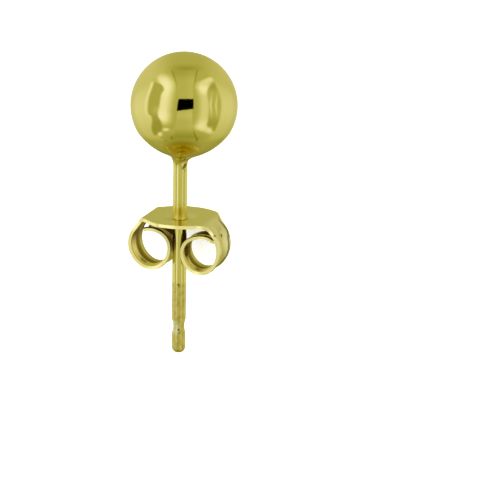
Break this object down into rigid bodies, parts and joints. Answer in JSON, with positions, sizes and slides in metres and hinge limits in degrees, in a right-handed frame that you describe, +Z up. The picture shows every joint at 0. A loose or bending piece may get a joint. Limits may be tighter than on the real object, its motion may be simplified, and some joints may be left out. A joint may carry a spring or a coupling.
{
  "type": "ball stud earring",
  "caption": "Round gold ball on a straight ear post, with a butterfly friction back that slides along the post.",
  "frame": {"origin": "on the surface the earring lies on, under the middle of its bounding box", "axes": "+Z up; the post lies along Y with the ball towards +Y, raised 8 degrees from tip to ball; +X from the left scroll to the right one as seen from above with the ball away from the viewer"},
  "size_m": [0.006, 0.0174, 0.006],
  "materials": {
    "polished_gold": "mirror polish",
    "satin_gold": "soft satin with polished edges"
  },
  "bodies": {
    "stud": {"ball_stud": "polished_gold"},
    "back": {"butterfly_back": "satin_gold"}
  },
  "joints": [
    {"name": "back_slide", "type": "slide", "parent": "stud", "child": "back", "axis": [0, -0.9903, -0.1393], "range_m": [-0.0026, 0.0098]}
  ]
}
